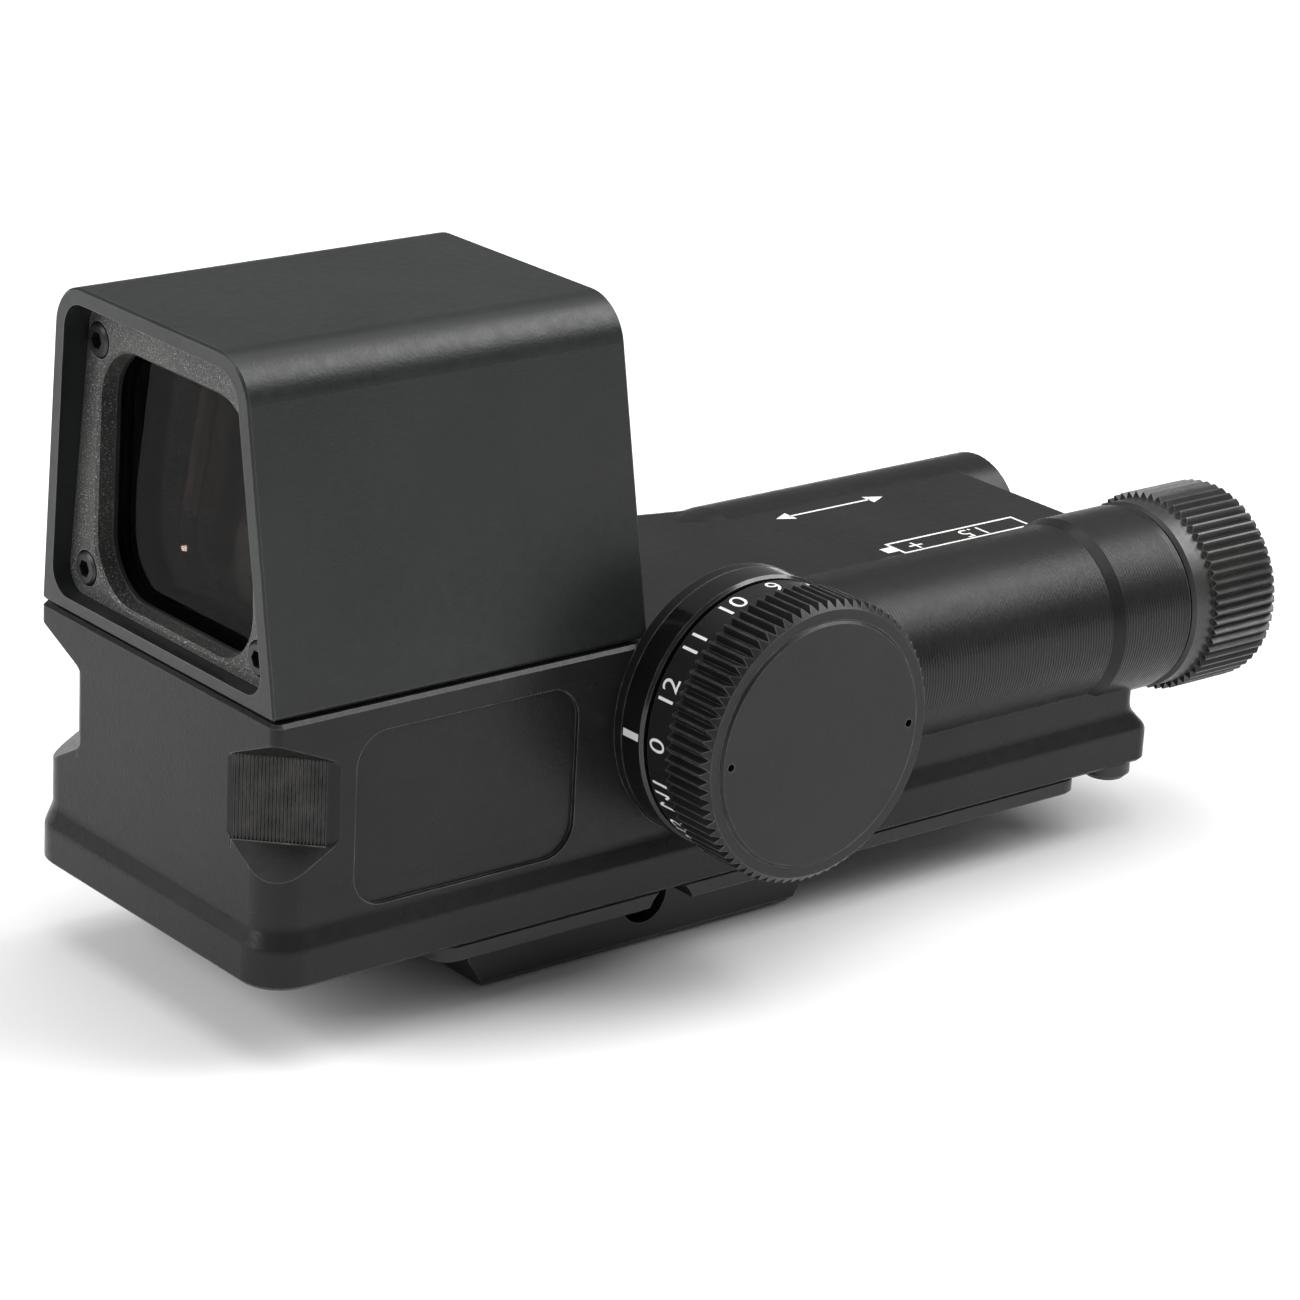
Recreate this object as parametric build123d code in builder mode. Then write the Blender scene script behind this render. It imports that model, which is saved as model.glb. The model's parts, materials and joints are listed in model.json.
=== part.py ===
"""Closed reflex sight on a rail clamp: every physical piece as its own solid.

Millimetres, +Z up.  The origin is the middle of the rail seat, the flat face that
rests on top of the rail.  +Y points to the eye end (battery cap), -Y to the target
end (screwed front window), +X to the brightness knob.
"""
from build123d import *
import math
import os

os.makedirs("parts", exist_ok=True)

# ------------------------------------------------------------ driving dimensions
running = 0.05              # radial clearance of turning and sliding fits

# housing
front_y = -51.7             # target end of the skirt
rear_y = 69.2               # eye end of the skirt
block_rear_y = 67.25        # eye end of the deck
skirt_half = 22.0
block_half = 21.15
skirt_low = 2.4
skirt_top = 6.4
block_low = 8.6
deck_z = 27.8
pad_low, pad_z = 20.0, 30.2 # raised pad that carries the hood
pad_rear_y = -4.6
pad_corner_r = 1.0
corner_r = 4.6              # target-end corners of the skirt
rear_corner_r = 2.0
cove_r, crest_r = 2.2, 1.4  # the soft step between block and skirt
edge_bevel = 0.35
bay_top = 18.4
bay_x, bay_y = (-15.5, 2.0), (-6.0, 56.0)
switch_bay_x, switch_bay_y, switch_bay_top = (-2.0, 15.0), (-2.2, 12.5), 26.0
well_x, well_y, well_low = (-14.5, 14.5), (-45.0, -10.3), 18.3
panel_y, panel_z, panel_depth = (-41.1, -13.8), (9.0, 27.4), 0.45

# thumb notches: each cuts a flat across a target-end corner of the block
notch_inset = 7.4           # from the corner to the flat, along either face
notch_low, notch_high = 16.4, 25.2
notch_fall, notch_rise = 0.786, 0.6     # slopes of its floor and roof
notch_half = 4.57           # half width of the flat
notch_side_r = 1.6          # rounding of the flat's two sides
notch_side_arc = 40         # degrees of that rounding
notch_reach = 9.0
notch_cove_r = 0.8
rib_pitch, rib_depth, rib_count = 0.37, 0.15, 26
rib_start = -5.1

# hood
hood_low = 30.5
hood_top = 65.4
hood_low_half = 20.8
hood_top_half = 16.4
hood_top_r = 5.0
hood_front_low_y, hood_front_top_y = -50.8, -52.0
hood_rear_low_y, hood_rear_top_y = -4.9, -7.0
hood_wall = 1.7
front_ledge_y = -46.8
rear_ledge_y = -12.0
frame_t = 2.1
seal_t = 0.4
glass_t = 2.0
window_low, window_top = 32.9, 59.4
window_low_half, window_top_half = 14.1, 13.2
window_r = 6.2
glass_margin = 0.8
sleeve_margin = -0.5
frame_screws = [(-13.5, 59.4), (13.5, 59.4), (-15.4, 35.0), (15.4, 35.0)]
hood_screws = [(x, y) for x in (-17.9, 17.9) for y in (-38, -25)]

# reflector lens
lens_y, lens_z = -36.0, 46.2
lens_w, lens_h, lens_t = 25.0, 24.6, 4.6
lens_tilt = 9.0

# brightness knob, turning about a line along X
knob_y, knob_z = 5.6, 21.9
boss_start_x, boss_x = 21.0, 22.3
boss_cove_r = 0.8
ring_r = 14.7
ring_x = 25.5
dial_x = 25.8
dial_r = 14.4
knurl_x = 29.9
knurl_r = 15.1
knob_face_x = 36.0
disc_r = 13.1
disc_x = 35.2
disc_proud = 0.3
knob_bevel = 0.8
flute_count = 80
flute_depth = 0.72
flute_fill = 0.86           # share of the pitch taken by each flute
shaft_r = 3.0
shaft_start_x = 9.0
positions = 16
detent_r = 11.0
detent_depth = 2.4

# battery tube and cap, along Y
tube_x, tube_z = 14.3, 19.4
tube_r = 10.1
tube_ring_r = 10.6
tube_start_y = 22.0
ring_end_y = 70.1           # end of the tube's larger ring
lip_r, lip_end_y = 10.35, 70.9
seat_r, tube_end_y = 9.8, 70.3      # seat of the cap's seal, inside the lip
bore_start_y = 14.0
ring_start_y = 59.0
ramp_len = 1.6
bore_r = 7.6
battery_r = 7.25
battery_y = (15.3, 65.3)
thread_r = 8.6
thread_start_y = 58.6
cap_r = 11.45
cap_collar_r = 10.7
cap_start_y, cap_collar_y, cap_end_y = 71.2, 74.2, 83.7
cap_bevel = 0.4
cap_plug_y = 59.9
cap_floor_y, cap_pocket_y, stem_r = 72.0, 77.0, 2.0
cap_pitch = 2.0
cap_seal_r, cap_seal_section = 9.25, 0.43
cap_flute_count = 60
cap_flute_depth = 0.72

# adjusters; the rear one runs inside a round barrel along the deck's left edge
barrel_x, barrel_z, barrel_r = -13.33, 20.5, 7.8
barrel_end_y = 73.0
barrel_low_r = 6.9          # radius where the barrel begins, hidden in the block
barrel_rise_y = (22.0, 32.0)
barrel_cover = 0.3          # the block under the barrel's surface lies this much deeper
shoulder_r = 3.4            # rounding of the deck's left edge before the barrel
shoulder_y = 20.0
drum_r, drum_start_y = 3.5, 58.5
drum_head_r, drum_head_t = 4.7, 1.5
rod_r, rod_end_y = 1.5, -10.25
drum_groove_y, drum_groove_r, drum_groove_w = 66.0, 2.5, 1.2
drum_seal_r = 0.5
slot_w, slot_depth = 1.1, 1.0
side_y, side_z = -18.0, 26.0
side_drum_r = 3.0
side_drum_len = 4.3
side_rod_r = 1.2
side_bore_depth = 8.0

# rail clamp
plate_t = 2.1
plate_half = 21.0
plate_corner_r = 2.5
plate_y = (-30.0, 59.5)
jaw_half_len = 23.0
jaw_outer_x = 16.5
jaw_low_z = -6.2
rail_half = 8.0
seat_half, seat_step = 7.85, 0.2    # raised seat for the rail's flat top
apex_half, apex_z = 10.8, -2.8
lip_half, lip_z = 8.3, -5.3
bolt_z, bolt_r = -0.6, 2.3
bolt_head_r = 2.6
cross_r = 3.0            # recess around the bolt head
pin_x, pin_r = -22.0, 1.5
jaw_travel = 1.6
lever_z = (-5.9, -3.1)
tab_y = 14.0
base_screws = [(-12, -26), (12, -26), (-17.5, 56), (17.5, 56)]
foot_screws = [(-18.9, 65.3), (18.9, 65.3)]

# inner parts
bay_corner_r, switch_corner_r, well_corner_r, panel_corner_r = 2.0, 1.0, 0.8, 3.6
board_posts = [(-12.8, 0), (-12.8, 49), (-0.8, 49), (-0.8, 20)]
board_z, board_t = 9.0, 1.6
board_centre, board_w, board_len = (-7, 24.5), 15.6, 55
post_r = 1.9
board_screw_r, board_screw_len = 0.8, 6.0
board_head_r, board_head_t = 1.7, 1.4
screw_r, screw_depth = 1.25, 6.0    # M2.5
hood_shelf_z, hood_head_r, hood_head_t, hood_screw_len = 24.0, 2.05, 2.5, 11.5
foot_head_r, foot_head_t = 2.8, 2.0


# ------------------------------------------------------------ helpers
def across(y):
    """Sketch plane standing across the sight at y; local axes are world X and Z."""
    return Plane(origin=(0, y, 0), x_dir=(1, 0, 0), z_dir=(0, -1, 0))


def side_plane(x, y=0, z=0):
    """Sketch plane facing +X; local axes are world Y and Z."""
    return Plane(origin=(x, y, z), x_dir=(0, 1, 0), z_dir=(1, 0, 0))


def middle(pair):
    return (pair[0] + pair[1]) / 2


def span(pair):
    return pair[1] - pair[0]


def trapezoid(low_half, top_half, low, top, low_r, top_r):
    """Symmetric rounded trapezoid for a sketch on an across() plane."""
    with BuildSketch() as outline:
        with BuildLine():
            Polyline((-low_half, low), (low_half, low), (top_half, top), (-top_half, top), close=True)
        make_face()
        fillet(outline.vertices().group_by(Axis.Y)[-1], top_r)
        fillet(outline.vertices().group_by(Axis.Y)[0], low_r)
    return outline.sketch


def footprint(half, front, rear, front_corner, rear_corner):
    """Rectangle on the ground plane with its own corner radius at each end."""
    with BuildSketch() as outline:
        with Locations((0, (front + rear) / 2)):
            Rectangle(2 * half, rear - front)
        fillet(outline.vertices().group_by(Axis.Y)[0], front_corner)
        if rear_corner:
            fillet(outline.vertices().group_by(Axis.Y)[-1], rear_corner)
    return outline.sketch


def shoulder_outline(centre_x, centre_z, radius, top):
    """Waste outside a rounding of the deck's left edge; the rounding meets the deck at top."""
    rise = min((top - centre_z) / radius, 1)
    lean = math.asin(rise)
    start = (centre_x - radius, centre_z)
    end = (centre_x - radius * math.cos(lean), top)
    half = (math.pi + math.pi - lean) / 2
    halfway = (centre_x + radius * math.cos(half), centre_z + radius * math.sin(half))
    with BuildSketch() as outline:
        with BuildLine():
            ThreePointArc(start, halfway, end)
            Polyline(
                end, (end[0], top + 1), (-block_half - 1, top + 1), (-block_half - 1, centre_z), start
            )
        make_face()
    return outline.sketch


def window_outline(grow):
    """Window aperture, grown or shrunk evenly."""
    return trapezoid(
        window_low_half + grow, window_top_half + grow,
        window_low - grow, window_top + grow, window_r + grow, window_r + grow,
    )


def save(builder, name):
    """Label a finished piece and write its STEP file."""
    builder.part.label = name
    export_step(builder.part, f"parts/{name}.step")


hood_slope = (hood_low_half - hood_top_half) / (hood_top - hood_low)
hood_outline = trapezoid(hood_low_half, hood_top_half, hood_low, hood_top, 0.5, hood_top_r)
recess_low, recess_top = hood_low + 1.5, hood_top - hood_wall
recess_gap = 0.06


def recess_outline(gap):
    """Recess behind the hood's rim, less an even gap."""
    wall = hood_wall + gap
    return trapezoid(
        hood_low_half - wall - hood_slope * 1.5, hood_top_half - wall + hood_slope * hood_wall,
        recess_low + gap, recess_top - gap, 2.6, hood_top_r - hood_wall,
    )


# ------------------------------------------------------------ housing
inset = skirt_half - block_half
block_front_y = front_y + inset
skirt_outline = footprint(skirt_half, front_y, rear_y, corner_r, rear_corner_r)
block_outline = footprint(block_half, block_front_y, block_rear_y, corner_r - inset, rear_corner_r)
tube_axis = Axis((tube_x, 0, tube_z), (0, 1, 0))
radial_plane = Plane(origin=(tube_x, 0, tube_z), x_dir=(0, 1, 0), z_dir=(-1, 0, 0))

# Waste of a thumb notch: local X runs along the flat, local Y outwards, Z up.
side_angle = math.radians(notch_side_arc)
side_end = (
    notch_half + notch_side_r * math.sin(side_angle), notch_side_r * (math.cos(side_angle) - 1)
)
side_mid = (
    notch_half + notch_side_r * math.sin(side_angle / 2), notch_side_r * (math.cos(side_angle / 2) - 1)
)
with BuildPart() as notch_waste:
    with BuildSketch():
        with BuildLine():
            Line((-notch_half, 0), (notch_half, 0))
            ThreePointArc((notch_half, 0), side_mid, side_end)
            Polyline(
                side_end, (notch_reach, side_end[1]), (notch_reach, notch_reach),
                (-notch_reach, notch_reach), (-notch_reach, side_end[1]), (-side_end[0], side_end[1]),
            )
            ThreePointArc((-side_end[0], side_end[1]), (-side_mid[0], side_mid[1]), (-notch_half, 0))
        make_face()
    extrude(amount=pad_z)
    with BuildSketch(Plane.YZ):
        with BuildLine():
            Polyline(
                (-1, notch_low + notch_fall), (-1, notch_high - notch_rise),
                (notch_reach, notch_high + notch_rise * notch_reach),
                (notch_reach, notch_low - notch_fall * notch_reach), close=True,
            )
        make_face()
    extrude(amount=2 * notch_reach, both=True, mode=Mode.INTERSECT)
    floor_and_roof = notch_waste.edges().filter_by_position(Axis.Y, side_end[1] - running, running)
    fillet(floor_and_roof.filter_by(lambda edge: edge.bounding_box().size.Z < 1), notch_cove_r)

with BuildPart() as housing:
    with BuildSketch(Plane.XY.offset(skirt_low)):
        add(skirt_outline)
    extrude(amount=skirt_top - skirt_low)
    chamfer(housing.faces().sort_by(Axis.Z)[0].edges(), edge_bevel)
    with BuildSketch(Plane.XY.offset(skirt_top)):
        add(skirt_outline)
    with BuildSketch(Plane.XY.offset(block_low)):
        add(block_outline)
    loft(ruled=True)
    with BuildSketch(Plane.XY.offset(block_low)):
        add(block_outline)
    extrude(amount=deck_z - block_low)
    for seam_z, radius in ((block_low, cove_r), (skirt_top, crest_r)):
        level = housing.edges().group_by(Axis.Z)
        seam = [group for group in level if abs(group[0].center().Z - seam_z) < edge_bevel / 2]
        fillet(seam[0].filter_by_position(Axis.Z, seam_z - running, seam_z + running), radius)
    # raised pad under the hood
    with BuildSketch(Plane.XY.offset(pad_low)):
        add(footprint(block_half, block_front_y, pad_rear_y, pad_corner_r, 0))
    extrude(amount=pad_z - pad_low)
    chamfer(housing.faces().sort_by(Axis.Z)[-1].edges(), edge_bevel)
    # rounded left edge of the deck, widening into the barrel
    narrow = shoulder_outline(-block_half + shoulder_r, deck_z - shoulder_r, shoulder_r, deck_z)
    wide = shoulder_outline(barrel_x, barrel_z, barrel_r - barrel_cover, deck_z)
    with BuildSketch(across(pad_rear_y)):
        add(narrow)
    extrude(amount=pad_rear_y - shoulder_y, mode=Mode.SUBTRACT)
    with BuildSketch(across(shoulder_y)):
        add(narrow)
    with BuildSketch(across(barrel_rise_y[1])):
        add(wide)
    loft(mode=Mode.SUBTRACT)
    with BuildSketch(across(barrel_rise_y[1])):
        add(wide)
    extrude(amount=barrel_rise_y[1] - rear_y, mode=Mode.SUBTRACT)
    # barrel of the rear adjuster
    with BuildSketch(Plane(origin=(barrel_x, 0, barrel_z), x_dir=(0, 1, 0), z_dir=(-1, 0, 0))):
        with BuildLine():
            Polyline(
                (barrel_rise_y[0], 0), (barrel_rise_y[0], barrel_low_r), (barrel_rise_y[1], barrel_r),
                (barrel_end_y - edge_bevel, barrel_r), (barrel_end_y, barrel_r - edge_bevel),
                (barrel_end_y, 0), close=True,
            )
        make_face()
    revolve(axis=Axis((barrel_x, 0, barrel_z), (0, 1, 0)))
    # trim the deck's right edge where it would stand proud of the battery tube
    tube_edge_x = tube_x + math.sqrt(tube_r ** 2 - (deck_z - tube_z) ** 2)
    tube_edge_z = tube_z + math.sqrt(tube_r ** 2 - (block_half - tube_x) ** 2)
    with BuildSketch(across(knob_y + ring_r)):
        with BuildLine():
            Polyline(
                (tube_edge_x, deck_z), (block_half, tube_edge_z), (block_half + 1, tube_edge_z),
                (block_half + 1, deck_z + 1), (tube_edge_x, deck_z + 1), close=True,
            )
        make_face()
    extrude(amount=knob_y + ring_r - rear_y, mode=Mode.SUBTRACT)
    # battery tube, with a ramp up to the larger ring at its mouth and a thin lip
    with BuildSketch(radial_plane):
        with BuildLine():
            Polyline(
                (tube_start_y, 0), (tube_start_y, tube_r), (ring_start_y, tube_r),
                (ring_start_y + ramp_len, tube_ring_r), (ring_end_y - edge_bevel, tube_ring_r),
                (ring_end_y, lip_r), (lip_end_y, lip_r), (lip_end_y, seat_r),
                (tube_end_y, seat_r), (tube_end_y, 0), close=True,
            )
        make_face()
    revolve(axis=tube_axis)
    # boss behind the knob
    with BuildSketch(side_plane(boss_start_x, knob_y, knob_z)):
        Circle(ring_r)
    extrude(amount=boss_x - boss_start_x)
    # battery bore and its threaded mouth
    with BuildSketch(across(tube_end_y)):
        with Locations((tube_x, tube_z)):
            Circle(bore_r)
    extrude(amount=tube_end_y - bore_start_y, mode=Mode.SUBTRACT)
    with BuildSketch(across(tube_end_y)):
        with Locations((tube_x, tube_z)):
            Circle(thread_r)
    extrude(amount=tube_end_y - thread_start_y, mode=Mode.SUBTRACT)
    # electronics bay, switch bay and optical well
    with BuildSketch(Plane.XY.offset(skirt_low)):
        with Locations((middle(bay_x), middle(bay_y))):
            RectangleRounded(span(bay_x), span(bay_y), bay_corner_r)
    extrude(amount=bay_top - skirt_low, mode=Mode.SUBTRACT)
    with BuildSketch(Plane.XY.offset(skirt_low)):
        with Locations((middle(switch_bay_x), middle(switch_bay_y))):
            RectangleRounded(span(switch_bay_x), span(switch_bay_y), switch_corner_r)
    extrude(amount=switch_bay_top - skirt_low, mode=Mode.SUBTRACT)
    with BuildSketch(Plane.XY.offset(well_low)):
        with Locations((middle(well_x), middle(well_y))):
            RectangleRounded(span(well_x), span(well_y), well_corner_r)
    extrude(amount=pad_z - well_low, mode=Mode.SUBTRACT)
    # posts for the circuit board
    with BuildSketch(Plane.XY.offset(board_z + board_t)):
        with Locations(*board_posts):
            Circle(post_r)
    extrude(amount=bay_top - board_z - board_t)
    with BuildSketch(Plane.XY.offset(board_z + board_t)):
        with Locations(*board_posts):
            Circle(board_screw_r)
    extrude(amount=board_screw_len, mode=Mode.SUBTRACT)
    # knob shaft bore
    with BuildSketch(side_plane(0, knob_y, knob_z)):
        Circle(shaft_r + running)
    extrude(amount=boss_x, mode=Mode.SUBTRACT)
    # rear adjuster: wide bore for the drum, narrow bore for the rod
    for radius, start, end in (
        (drum_r, barrel_end_y, drum_start_y - running), (rod_r, drum_start_y, well_y[1] - 1),
    ):
        with BuildSketch(across(start)):
            with Locations((barrel_x, barrel_z)):
                Circle(radius + running)
        extrude(amount=start - end, mode=Mode.SUBTRACT)
    # side adjuster, the same on the left wall
    for radius, depth in ((side_drum_r, side_drum_len + 0.3), (side_rod_r, side_bore_depth)):
        with BuildSketch(side_plane(-block_half - 1, side_y, side_z)):
            Circle(radius + running)
        extrude(amount=depth + 1, mode=Mode.SUBTRACT)
    # blank panel on the knob side
    with BuildSketch(side_plane(block_half)):
        with Locations((middle(panel_y), middle(panel_z))):
            RectangleRounded(span(panel_y), span(panel_z), panel_corner_r)
    extrude(amount=-panel_depth, mode=Mode.SUBTRACT)
    # screw holes from below
    with BuildSketch(Plane.XY.offset(skirt_low)):
        with Locations(*hood_screws):
            Circle(hood_head_r + 0.15)
    extrude(amount=hood_shelf_z - skirt_low, mode=Mode.SUBTRACT)
    with BuildSketch(Plane.XY.offset(hood_shelf_z)):
        with Locations(*hood_screws):
            Circle(screw_r + 0.1)
    extrude(amount=pad_z - hood_shelf_z, mode=Mode.SUBTRACT)
    with BuildSketch(Plane.XY.offset(skirt_low)):
        with Locations(*base_screws, *foot_screws):
            Circle(screw_r)
    extrude(amount=screw_depth, mode=Mode.SUBTRACT)
    # ribbed thumb notches
    for side in (1, -1):
        corner = Vector(side * block_half, block_front_y, 0)
        along = Vector(side, 1, 0).normalized()
        outward = Vector(side, -1, 0).normalized()
        centre = corner - outward * (notch_inset / math.sqrt(2))
        turn = math.degrees(math.atan2(outward.Y, outward.X)) - 90
        add(notch_waste.part.moved(Location((centre.X, centre.Y, 0), (0, 0, turn))), mode=Mode.SUBTRACT)
        with BuildSketch(Plane.XY.offset(notch_low - 1)):
            for index in range(rib_count):
                spot = centre + along * (rib_start + rib_pitch * index)
                proud = spot + outward * rib_depth
                corners = (
                    proud - along * (rib_pitch * 0.45), proud + along * (rib_pitch * 0.45),
                    spot - outward * rib_depth,
                )
                with BuildLine():
                    Polyline(*[(point.X, point.Y) for point in corners], close=True)
                make_face()
        extrude(amount=notch_high - notch_low + 1, mode=Mode.SUBTRACT)
save(housing, "housing")

# ------------------------------------------------------------ hood
with BuildPart() as hood:
    with BuildSketch(across(0)):
        add(hood_outline)
    extrude(amount=60)
    with BuildSketch(side_plane(-30)):
        with BuildLine():
            Polyline(
                (hood_front_low_y, hood_low), (hood_rear_low_y, hood_low),
                (hood_rear_top_y, hood_top), (hood_front_top_y, hood_top), close=True,
            )
        make_face()
    extrude(amount=60, mode=Mode.INTERSECT)
    chamfer(hood.edges().group_by(Axis.Y)[-1] + hood.faces().sort_by(Axis.Y)[0].edges(), 0.25)
    for ledge, outside in ((front_ledge_y, -54), (rear_ledge_y, 0)):
        with BuildSketch(across(ledge)):
            add(recess_outline(0))
        extrude(amount=ledge - outside, mode=Mode.SUBTRACT)
        inward = math.copysign(seal_t + glass_t, outside - ledge)
        with BuildSketch(across(ledge)):
            add(window_outline(glass_margin))
        extrude(amount=inward, mode=Mode.SUBTRACT)
        with BuildSketch(across(ledge)):
            with Locations(*frame_screws):
                Circle(0.85)
        extrude(amount=math.copysign(5.2, outside - ledge), mode=Mode.SUBTRACT)
    with BuildSketch(across(0)):
        add(window_outline(sleeve_margin))
    extrude(amount=50, mode=Mode.SUBTRACT)
    # beam slot in the floor and screw holes
    with BuildSketch(Plane.XY.offset(hood_low)):
        with Locations((0, -25)):
            RectangleRounded(16, 17, 2)
    extrude(amount=5, mode=Mode.SUBTRACT)
    with BuildSketch(Plane.XY.offset(hood_low)):
        with Locations(*hood_screws):
            Circle(1.25)
    extrude(amount=5.5, mode=Mode.SUBTRACT)
save(hood, "hood")

with BuildPart() as hood_gasket:
    with BuildSketch(Plane.XY.offset(pad_z)):
        with Locations((0, middle((hood_front_low_y, hood_rear_low_y)))):
            RectangleRounded(2 * hood_low_half - 1.6, span((hood_front_low_y, hood_rear_low_y)) - 1.6, 2)
        with Locations((0, middle(well_y))):
            RectangleRounded(span(well_x), span(well_y), 3, mode=Mode.SUBTRACT)
        with Locations(*hood_screws):
            Circle(1.35, mode=Mode.SUBTRACT)
    extrude(amount=hood_low - pad_z)
save(hood_gasket, "hood_gasket")

with BuildPart() as hood_screw_set:
    with BuildSketch(Plane.XY.offset(hood_shelf_z - hood_head_t)):
        with Locations(*hood_screws):
            Circle(hood_head_r)
    extrude(amount=hood_head_t)
    with BuildSketch(Plane.XY.offset(hood_shelf_z)):
        with Locations(*hood_screws):
            Circle(screw_r)
    extrude(amount=hood_screw_len)
    with BuildSketch(Plane.XY.offset(hood_shelf_z - hood_head_t)):
        with Locations(*hood_screws):
            RegularPolygon(1.2, 6)
    extrude(amount=1.4, mode=Mode.SUBTRACT)
save(hood_screw_set, "hood_screws")

# ------------------------------------------------------------ windows
for end, ledge, outside in (("front", front_ledge_y, -1), ("rear", rear_ledge_y, 1)):
    # an across() extrude runs towards -Y, so outwards is -outside times the amount
    with BuildPart() as frame:
        with BuildSketch(across(ledge)):
            add(recess_outline(recess_gap))
            add(window_outline(0), mode=Mode.SUBTRACT)
        extrude(amount=-outside * frame_t)
        rim = frame.faces().sort_by(Axis.Y)[0 if outside < 0 else -1]
        chamfer(rim.inner_wires()[0].edges(), 0.3)
        with BuildSketch(across(ledge)):
            with Locations(*frame_screws):
                Circle(0.95)
        extrude(amount=-outside * frame_t, mode=Mode.SUBTRACT)
        with BuildSketch(across(ledge + outside * (frame_t - 1.1))):
            with Locations(*frame_screws):
                Circle(1.9)
        extrude(amount=-outside * 1.1, mode=Mode.SUBTRACT)
    save(frame, f"{end}_frame")

    with BuildPart() as seal:
        with BuildSketch(across(ledge)):
            add(window_outline(glass_margin - recess_gap))
            add(window_outline(-0.2), mode=Mode.SUBTRACT)
        extrude(amount=outside * seal_t)
    save(seal, f"{end}_seal")

    with BuildPart() as glass:
        with BuildSketch(across(ledge - outside * seal_t)):
            add(window_outline(glass_margin - recess_gap))
        extrude(amount=outside * glass_t)
    save(glass, f"{end}_glass")

    with BuildPart() as screws:
        head_y = ledge + outside * (frame_t - 1.1)
        with BuildSketch(across(head_y)):
            with Locations(*frame_screws):
                Circle(1.75)
        extrude(amount=-outside * 1.4)
        head_face = screws.faces().sort_by(Axis.Y)[:4] if outside < 0 else screws.faces().sort_by(Axis.Y)[-4:]
        chamfer(head_face.edges(), 0.25)
        with BuildSketch(across(head_y)):
            with Locations(*frame_screws):
                Circle(0.85)
        extrude(amount=outside * 5.8)
        with BuildSketch(across(head_y + outside * 1.4)):
            with Locations(*frame_screws):
                RegularPolygon(0.95, 6)
        extrude(amount=outside * 0.9, mode=Mode.SUBTRACT)
    save(screws, f"{end}_frame_screws")

# ------------------------------------------------------------ reflector lens and its cell
tilt = math.radians(lens_tilt)
lens_plane = Plane(
    origin=(0, lens_y, lens_z), x_dir=(-1, 0, 0), z_dir=(0, math.cos(tilt), -math.sin(tilt))
)
with BuildPart() as lens:
    with BuildSketch(lens_plane):
        RectangleRounded(lens_w, lens_h, 5.2)
    extrude(amount=lens_t / 2, both=True)
    chamfer(lens.faces().sort_by(Axis.Y)[0].edges(), 0.4)
save(lens, "reflector_lens")

with BuildPart() as lens_cell:
    with BuildSketch(across(lens_y)):
        add(window_outline(sleeve_margin - running))
        with Locations((0, lens_z)):
            RectangleRounded(lens_w - 3.4, lens_h - 3.4, 4, mode=Mode.SUBTRACT)
    extrude(amount=-7)
    with BuildSketch(lens_plane):
        RectangleRounded(lens_w + 0.02, lens_h + 0.02, 5.2)
    extrude(amount=lens_t / 2, both=True, mode=Mode.SUBTRACT)
    with BuildSketch(lens_plane):
        Rectangle(60, 60)
    extrude(amount=-20, mode=Mode.SUBTRACT)
save(lens_cell, "lens_cell")

# ------------------------------------------------------------ emitter and its two adjusters
block_wedge_w, block_wedge_z = 28.4, (18.9, 28.6)
led_start = (0, -17.9, 27.3)
led_dir = Vector(0, lens_y, lens_z) - Vector(*led_start)
with BuildPart() as emitter_block:
    with BuildSketch(Plane.XY.offset(block_wedge_z[0])):
        with Locations((0, -13.25)):
            RectangleRounded(block_wedge_w, 5.1, 1.2)
    extrude(amount=span(block_wedge_z))
save(emitter_block, "emitter_block")

with BuildPart() as emitter_carriage:
    with BuildSketch(Plane.XY.offset(24)):
        with Locations((0, -18.15)):
            RectangleRounded(8, 4.1, 0.6)
    extrude(amount=4.6)
    with BuildSketch(Plane(origin=led_start, z_dir=led_dir)):
        Circle(1.3)
    extrude(amount=6, mode=Mode.SUBTRACT)
save(emitter_carriage, "emitter_carriage")

with BuildPart() as emitter_led:
    with BuildSketch(Plane(origin=led_start, z_dir=led_dir)):
        Circle(1.3)
    extrude(amount=2.8)
    fillet(emitter_led.edges().filter_by(GeomType.CIRCLE).sort_by(Axis.Z)[-1], 0.5)
save(emitter_led, "emitter_led")

with BuildPart() as rear_adjuster:
    with BuildSketch(across(drum_start_y)):
        with Locations((barrel_x, barrel_z)):
            Circle(drum_r)
    extrude(amount=drum_start_y - barrel_end_y - 0.1)
    with BuildSketch(across(drum_start_y)):
        with Locations((barrel_x, barrel_z)):
            Circle(rod_r)
    extrude(amount=drum_start_y - rod_end_y)
    with BuildSketch(across(barrel_end_y + 0.1)):
        with Locations((barrel_x, barrel_z)):
            Circle(drum_head_r)
    extrude(amount=-drum_head_t)
    chamfer(rear_adjuster.faces().sort_by(Axis.Y)[-1].edges(), 0.6)
    with BuildSketch(across(drum_groove_y + drum_groove_w / 2)):
        with Locations((barrel_x, barrel_z)):
            Circle(drum_r + 1)
            Circle(drum_groove_r, mode=Mode.SUBTRACT)
    extrude(amount=drum_groove_w, mode=Mode.SUBTRACT)
    with BuildSketch(across(barrel_end_y + drum_head_t + 0.1)):
        with Locations((barrel_x, barrel_z)):
            Rectangle(2 * drum_head_r + 1, slot_w)
    extrude(amount=slot_depth, mode=Mode.SUBTRACT)
save(rear_adjuster, "rear_adjuster")

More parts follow.
